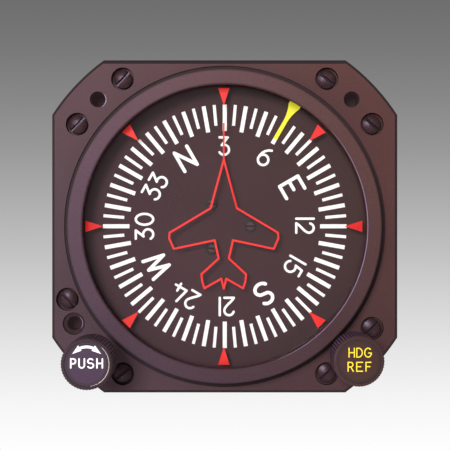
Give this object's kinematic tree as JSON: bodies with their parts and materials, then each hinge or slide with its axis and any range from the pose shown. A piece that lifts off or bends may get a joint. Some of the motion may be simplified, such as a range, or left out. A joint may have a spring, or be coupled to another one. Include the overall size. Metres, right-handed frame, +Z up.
{
  "type": "heading indicator",
  "caption": "Panel-mounted gyroscopic heading indicator: vertical compass card, heading bug, a push-to-set knob and a heading knob, gimballed air-driven rotor inside.",
  "frame": {"origin": "centre of the dial on the front face of the flange, which lies against the back of the panel", "axes": "-Y towards the pilot, +X to the pilot's right, +Z up"},
  "size_m": [0.0856, 0.1285, 0.0826],
  "materials": {
    "anodised_plate": "satin",
    "case_paint": "satin",
    "clear_glass": "polished",
    "rubber": "matte",
    "blackened_steel": "satin",
    "steel": "satin",
    "brass": "satin",
    "aluminium": "satin",
    "dial_black": "matte",
    "bug_yellow": "satin",
    "knob_black": "satin",
    "filter_felt": "matte"
  },
  "bodies": {
    "instrument": {"front_plate": "anodised_plate", "mounting_inserts": "steel", "bezel_ring": "anodised_plate", "cover_glass": "clear_glass", "glass_gasket": "rubber", "glass_retaining_ring": "blackened_steel", "case_screws": "blackened_steel", "case_gasket": "rubber", "main_case": "case_paint", "rear_cover": "case_paint", "rear_cover_screws": "blackened_steel", "inlet_filter": "filter_felt", "filter_screen": "steel", "vacuum_fitting": "brass", "air_duct": "brass", "mechanism_frame": "aluminium", "frame_screws": "blackened_steel", "knob_bushings": "brass", "guide_posts": "steel", "card_bearing_outer_rings": "steel", "gimbal_bearing_outer_rings": "steel", "set_return_spring": "steel", "heading_return_spring": "steel"},
    "card": {"compass_card": "dial_black", "card_screws": "blackened_steel", "card_hub": "aluminium", "card_shaft": "steel", "card_gear": "brass", "crown_gear": "brass", "card_bearing_inner_rings": "steel"},
    "bug": {"heading_bug": "bug_yellow", "bug_carrier": "aluminium", "bug_gear": "brass"},
    "set_slide": {"set_carriage": "aluminium", "caging_rod": "steel"},
    "set_knob_and_shaft": {"set_knob": "knob_black", "set_knob_face": "knob_black", "set_shaft": "steel"},
    "set_idler_gear": {"set_idler": "brass"},
    "heading_slide": {"heading_carriage": "aluminium"},
    "heading_knob_and_shaft": {"heading_knob": "knob_black", "heading_knob_face": "knob_black", "heading_shaft": "steel"},
    "heading_idler_gear": {"heading_idler": "brass"},
    "caging_bellcrank": {"caging_lever": "steel"},
    "caging_pin": {"caging_plunger": "steel"},
    "outer_gimbal_assembly": {"outer_gimbal": "aluminium", "upper_pivot": "steel", "lower_pivot": "steel", "azimuth_gear": "brass", "air_nozzle": "brass", "gimbal_bearing_inner_rings": "steel", "tilt_bearing_outer_rings": "steel"},
    "inner_gimbal_assembly": {"inner_gimbal": "aluminium", "tilt_pivots": "steel", "tilt_bearing_inner_rings": "steel", "rotor_bearing_outer_rings": "steel"},
    "rotor_assembly": {"gyro_rotor": "brass", "rotor_shaft": "steel", "rotor_bearing_inner_rings": "steel"}
  },
  "joints": [
    {"name": "azimuth_turn", "type": "hinge", "parent": "instrument", "child": "outer_gimbal_assembly", "pos_m": [0, 0.06, 0], "axis": [0, 0, 1], "continuous": true},
    {"name": "card_turn", "type": "hinge", "parent": "instrument", "child": "card", "pos_m": [0, 0, 0], "axis": [0, 1, 0], "continuous": true},
    {"name": "tilt", "type": "hinge", "parent": "outer_gimbal_assembly", "child": "inner_gimbal_assembly", "pos_m": [0, 0.06, 0], "axis": [1, 0, 0], "range_deg": [-55, 55]},
    {"name": "rotor_spin", "type": "hinge", "parent": "inner_gimbal_assembly", "child": "rotor_assembly", "pos_m": [0, 0.06, 0], "axis": [0, 1, 0], "continuous": true},
    {"name": "bug_turn", "type": "hinge", "parent": "card", "child": "bug", "pos_m": [0, 0, 0], "axis": [0, 1, 0], "continuous": true},
    {"name": "set_push", "type": "slide", "parent": "instrument", "child": "set_slide", "axis": [0, 1, 0], "range_m": [0, 0.004], "stiffness_N_per_m": 300, "springref_m": -0.008, "deforming": ["set_return_spring"]},
    {"name": "set_turn", "type": "hinge", "parent": "set_slide", "child": "set_knob_and_shaft", "pos_m": [-0.0314, 0, -0.0314], "axis": [0, 1, 0], "continuous": true},
    {"name": "set_idler_turn", "type": "hinge", "parent": "set_slide", "child": "set_idler_gear", "pos_m": [-0.02418, 0, -0.02418], "axis": [0, 1, 0], "continuous": true},
    {"name": "heading_push", "type": "slide", "parent": "instrument", "child": "heading_slide", "axis": [0, 1, 0], "range_m": [0, 0.0024], "stiffness_N_per_m": 300, "springref_m": -0.008, "deforming": ["heading_return_spring"]},
    {"name": "heading_turn", "type": "hinge", "parent": "heading_slide", "child": "heading_knob_and_shaft", "pos_m": [0.0314, 0, -0.0314], "axis": [0, 1, 0], "continuous": true},
    {"name": "heading_idler_turn", "type": "hinge", "parent": "heading_slide", "child": "heading_idler_gear", "pos_m": [0.02333, 0, -0.02333], "axis": [0, 1, 0], "continuous": true},
    {"name": "caging_lever_turn", "type": "hinge", "parent": "instrument", "child": "caging_bellcrank", "pos_m": [0, 0.066, -0.0361], "axis": [-1, 0, 0], "range_deg": [0, 12.5]},
    {"name": "caging_plunger_rise", "type": "slide", "parent": "instrument", "child": "caging_pin", "axis": [0, 0, 1], "range_m": [0, 0.0013]}
  ],
  "couplings": [
    {"joint": "card_turn", "follows": "azimuth_turn", "ratio": -1},
    {"joint": "bug_turn", "follows": "heading_turn", "ratio": 0.14286},
    {"joint": "set_idler_turn", "follows": "set_turn", "ratio": -0.7},
    {"joint": "heading_idler_turn", "follows": "heading_turn", "ratio": -0.46154},
    {"joint": "caging_lever_turn", "follows": "set_push", "rad_per_m": 52.356},
    {"joint": "caging_plunger_rise", "follows": "set_push", "ratio": 0.31414}
  ]
}
